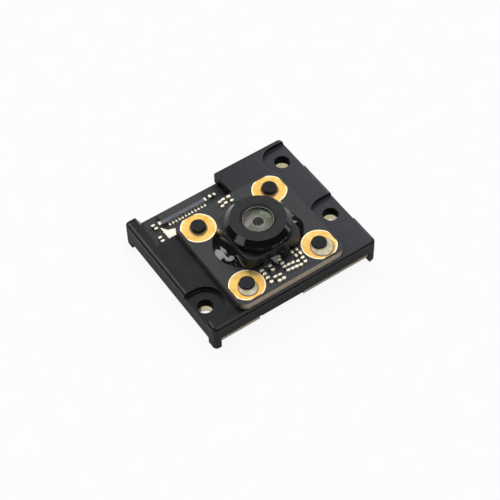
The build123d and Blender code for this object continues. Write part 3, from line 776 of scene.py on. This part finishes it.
def glue_bead(post, shift_x, shift_y, size, fullness, columns=72, rows=14):
    """One drop: outer radius = s.u + sqrt(R^2 - s^2 + (s.u)^2) for a circle R pushed by s, in
    direction u; height = fullness (dome (1 - t^2)^0.7 + climb (1 - t)^4) over the share t from the
    post to that edge."""
    angle = np.linspace(0, 2 * np.pi, columns, endpoint=False)
    push = (shift_x * np.cos(angle) + shift_y * np.sin(angle)) * MM
    square = (size**2 - shift_x**2 - shift_y**2) * MM**2
    outer = np.maximum(push + np.sqrt(square + push**2), POST_RADIUS + 0.05 * MM)
    inner = POST_RADIUS - SINK
    reach = outer - inner
    share = np.linspace(0, 1, rows)[:, None]
    dome = 0.06 * MM + 0.13 * reach
    climb = 0.12 * MM
    swell = dome * np.maximum(1 - share**2, 0) ** 0.7 + climb * (1 - share) ** 4
    height = pads_top + fullness * swell
    radius = inner + reach * share
    foot = np.stack([np.full((1, columns), inner), np.full((1, columns), pads_top - SINK)], -1)
    shell = np.concatenate([foot, np.stack([radius, height], -1)])
    x = post[0] + shell[..., 0] * np.cos(angle)
    y = post[1] + shell[..., 0] * np.sin(angle)
    return np.stack([x, y, shell[..., 1]], -1)


drops = np.stack([glue_bead(post, *bead) for post, bead in zip(posts, BEADS)])
count, rows, columns = drops.shape[:3]
drop_faces = [grid_faces(rows, columns, i * rows * columns)[:, ::-1] for i in range(count)]
build("glue_drops", drops, np.concatenate(drop_faces), "pale_glue", ["post_glue"])

# %% [markdown]
# ## Painted highlight at the lens seat
# The barrel's inner lip is rolled over the front lens, and the solids leave it out as too fine. Its
# fine light ring is a painted highlight: a thin pale tube carried round a circle, half sunk in the
# lip. The stop behind the lens gets the same painted highlight round its hole.

# %% Painted highlight at the lens seat
SEAT_RADIUS = 1.97 * MM
SEAT_DEPTH = 0.27 * MM
STOP_RADIUS = 0.76 * MM
TUBE = 0.03 * MM


def ring(level, radius, columns=120, rows=10):
    """A tube round the lens axis: distance = R + r cos b, height = r sin b, for angles a and b."""
    a = np.linspace(0, 2 * np.pi, columns, endpoint=False)
    b = np.linspace(0, 2 * np.pi, rows, endpoint=False)[:, None]
    out = radius + TUBE * np.cos(b)
    return np.stack([
        lens_centre[0] + out * np.cos(a), lens_centre[1] + out * np.sin(a),
        level + TUBE * np.sin(b) * np.ones_like(a),
    ], -1)


# Painted highlights: pale rings at the seat's lip and round the stop's hole
seat_glint = ring(barrel_high[2] - SEAT_DEPTH, SEAT_RADIUS)
stop_glint = ring(stop_top - TUBE / 2, STOP_RADIUS)
for name, points in (("lens_seat_edge", seat_glint), ("stop_edge", stop_glint)):
    build(name, points, grid_faces(*points.shape[:2])[:, ::-1], "seat_edge")

# %% [markdown]
# ## Solder
# Solder that has wetted a metal end makes it round at its edges. A bevel on each little box could
# show this, but the solder also swells and spreads. So one function works out all the caps at once:
# a rounded square in plan with a flat top. Their places come from the solids, read as boxes from
# the loose triangles.

# %% Solder
TIP = 0.02
SQUARENESS = 5
FLATNESS = 20


def solid_boxes(name, count):
    """Lowest and highest corners of the equal solids of one node, each of shape (count, 3)."""
    mesh = nodes[name].data
    flat = np.empty(len(mesh.vertices) * 3)
    mesh.vertices.foreach_get("co", flat)
    loose = flat.reshape(count, -1, 3)
    return loose.min(1), loose.max(1)


def pillows(low, high, swell, columns=20, rows=9):
    """Closed pillows over boxes: plan radius of a squared circle (|cos|^n + |sin|^n)^(-1/n), n = 5,
    times the share t; height = base + swell (1 - t^20), so the top is flat and its edge is round."""
    angle = np.linspace(0, 2 * np.pi, columns, endpoint=False)
    plan = np.abs(np.cos(angle)) ** SQUARENESS + np.abs(np.sin(angle)) ** SQUARENESS
    plan = plan ** (-1 / SQUARENESS)
    share = np.sin(np.linspace(np.pi / 2, TIP, rows))
    share = np.concatenate([[TIP, 1.0], share])
    rise = np.asarray(swell)[:, None] * (1 - share**FLATNESS)
    rise[:, :2] = -SINK * np.sign(rise[:, -1:])
    middle, half = (low + high) / 2, (high - low) / 2
    x = middle[:, 0, None, None] + half[:, 0, None, None] * share[:, None] * plan * np.cos(angle)
    y = middle[:, 1, None, None] + half[:, 1, None, None] * share[:, None] * plan * np.sin(angle)
    z = (low[:, 2, None] + rise)[:, :, None] + np.zeros_like(x)
    total = len(share)
    faces = [grid_faces(total, columns, i * total * columns) for i in range(len(low))]
    return np.stack([x, y, z], -1), np.concatenate(faces)


# %% [markdown]
# ## Chip ends and contact tails
# Each chip ends in two caps, which reach out a little over their pads. Those on a board swell up,
# and those under one swell down. The tails of the connector's contacts are covered in the same way.

# %% Chip ends and contact tails
CAP_REACH, CAP_MARGIN, CAP_RISE = 0.1 * MM, 0.03 * MM, 0.01 * MM
TAIL_LENGTH, TAIL_MARGIN, TAIL_RISE = 0.62 * MM, 0.06 * MM, 0.16 * MM
CONTACTS = 12
# Node, how many ends it holds, and 1 where they stand on a board or -1 where they hang under it
CHIP_ENDS = [("camera_chip_ends", 32, 1), ("main_chip_ends", 6, 1), ("under_chip_ends", 24, -1)]


def outward(low, high):
    """Stretch the boxes of chip ends away from the other end of the same chip, and widen them."""
    middle = ((low + high) / 2).reshape(-1, 2, 3)
    along = (middle - middle.mean(1, keepdims=True)).reshape(-1, 3)
    along = np.sign(np.where(np.abs(along) > 0.1 * MM, along, 0))[:, :2]
    sides = np.where(np.abs(along) > 0, 0.0, CAP_MARGIN)
    low, high = low.copy(), high.copy()
    low[:, :2] -= np.where(along < 0, CAP_REACH, 0) + sides
    high[:, :2] += np.where(along > 0, CAP_REACH, 0) + sides
    return low, high


for name, count, side in CHIP_ENDS:
    low, high = outward(*solid_boxes(name, count))
    if side < 0:
        low[:, 2], high[:, 2] = high[:, 2], low[:, 2].copy()
    points, faces = pillows(low, high, high[:, 2] - low[:, 2] + side * CAP_RISE)
    build(name.replace("ends", "caps"), points, faces[:, ::-side], "bright_tin", [name])
low, high = solid_boxes("connector_contacts", CONTACTS)
high[:, 1] = low[:, 1] + TAIL_LENGTH
low[:, 0] -= TAIL_MARGIN
high[:, 0] += TAIL_MARGIN
low[:, 2] = main_top
points, faces = pillows(low, high, np.full(len(low), TAIL_RISE))
build("contact_solder", points, faces[:, ::-1], "bright_tin")

# %% [markdown]
# ## Floor
# A sheet of white paper takes the object's shadow. More lamps could whiten it, but they would
# bleach the object. So it glows for some rays: camera rays see mostly its glow, at the
# paper's own white, and mirrored and refracted rays see a fainter one. Every other ray sees plain
# paper, so the glow puts no light on the object.

# %% Floor
FLOOR = 3.0
FLOOR_GLOW = 0.94
MIRROR_GLOW = 0.3
floor_mesh = bpy.data.meshes.new("floor")
floor_mesh.from_pydata(
    [(-FLOOR, -FLOOR, 0), (FLOOR, -FLOOR, 0), (FLOOR, FLOOR, 0), (-FLOOR, FLOOR, 0)], [], [(0, 1, 2, 3)]
)
floor = bpy.data.objects.new("floor", floor_mesh)
bpy.context.scene.collection.objects.link(floor)
paper = bpy.data.materials.new("floor_paper")
paper.use_nodes = True
tree = paper.node_tree
shader = tree.nodes["Principled BSDF"]
tone = mottled(tree, tree.nodes.new("ShaderNodeTexCoord").outputs["Object"], 300, "#fbfbfb", "#fdfdfd")
tree.links.new(tone, shader.inputs["Base Color"])
shader.inputs["Roughness"].default_value = 0.9
shader.inputs["Specular IOR Level"].default_value = 0.0
path = tree.nodes.new("ShaderNodeLightPath")
mirrored = maths(tree, "MAXIMUM", path.outputs["Is Glossy Ray"], path.outputs["Is Transmission Ray"])
straight = times(tree, path.outputs["Is Camera Ray"], FLOOR_GLOW)
share = maths(tree, "ADD", straight, times(tree, mirrored, MIRROR_GLOW))
glow = add(tree, "ShaderNodeEmission", strength=1.0)
tree.links.new(tone, glow.inputs["Color"])
both = add(tree, "ShaderNodeMixShader")
tree.links.new(maths(tree, "MINIMUM", share, 1.0), both.inputs["Fac"])
tree.links.new(shader.outputs["BSDF"], both.inputs[1])
tree.links.new(glow.outputs["Emission"], both.inputs[2])
tree.links.new(both.outputs["Shader"], tree.nodes["Material Output"].inputs["Surface"])
floor_mesh.materials.append(paper)
print("floor", 2 * FLOOR, "m wide")

# %% [markdown]
# ## Lamps
# A broad lamp overhead and smaller ones round the sides, as on a product table. One picture of a
# studio could light it all, but then no highlight could be placed. So each lamp stands on a sphere
# round the object and faces it. The glints are small and strong, for the adhesive and the cone.

# %% Lamps
LAMP_DISTANCE = 0.9
# Name, azimuth (0 in front at -Y, 90 at the right at +X), elevation, width, height, radiance
LAMPS = [
    ("lamp_top", 60, 78, 0.7, 0.5, 2.7),
    ("lamp_back_right", 149, 51, 0.8, 0.42, 1.0),
    ("lamp_left", -92, 20, 0.42, 0.25, 2.6),
    ("lamp_back_left", -164, 55, 0.46, 0.22, 7.0),
    ("lamp_left_glint", -140, 40, 0.3, 0.2, 6.0),
    ("lamp_front_glint", 38, 45, 0.3, 0.34, 4.5),
    ("lamp_front", -31, 41, 0.7, 0.3, 0.9),
    ("lamp_low_right", 128, 30, 0.36, 0.24, 4.5),
    ("lamp_right", 70, 8, 0.14, 0.2, 2.2),
]


def softbox(name, azimuth, elevation, width, height, radiance):
    """An area lamp on a sphere round the object, facing it; its power is radiance pi width height."""
    a, e = math.radians(azimuth), math.radians(elevation)
    away = np.array([math.sin(a) * math.cos(e), -math.cos(a) * math.cos(e), math.sin(e)])
    data = bpy.data.lights.new(name, "AREA")
    data.shape = "RECTANGLE"
    data.size, data.size_y = width, height
    data.energy = radiance * math.pi * width * height
    lamp = bpy.data.objects.new(name, data)
    bpy.context.scene.collection.objects.link(lamp)
    side = np.cross([0, 0, 1], away)
    side /= np.linalg.norm(side)
    turn = np.eye(4)
    turn[:3, :3] = np.column_stack([side, np.cross(away, side), away])
    turn[:3, 3] = away * LAMP_DISTANCE
    lamp.matrix_world = Matrix(turn.tolist())


for row in LAMPS:
    softbox(*row)
print(len(LAMPS), "lamps")

# %% [markdown]
# ## World
# The background beyond the floor could be one colour, but a pale one would light the object too.
# So it is pale for the camera and dark for every other ray.

# %% World
world = bpy.data.worlds.new("studio")
bpy.context.scene.world = world
world.use_nodes = True
tree = world.node_tree
tree.nodes.clear()
path = tree.nodes.new("ShaderNodeLightPath")
seen = add(tree, "ShaderNodeBackground")
seen.inputs["Color"].default_value = linear("#f2f2f2")
dim = add(tree, "ShaderNodeBackground")
dim.inputs["Color"].default_value = (0.1, 0.1, 0.105, 1)
both = add(tree, "ShaderNodeMixShader")
world_output = tree.nodes.new("ShaderNodeOutputWorld")
tree.links.new(path.outputs["Is Camera Ray"], both.inputs["Fac"])
tree.links.new(dim.outputs["Background"], both.inputs[1])
tree.links.new(seen.outputs["Background"], both.inputs[2])
tree.links.new(both.outputs["Shader"], world_output.inputs["Surface"])
bpy.context.scene.view_settings.view_transform = "Standard"
print("world made")
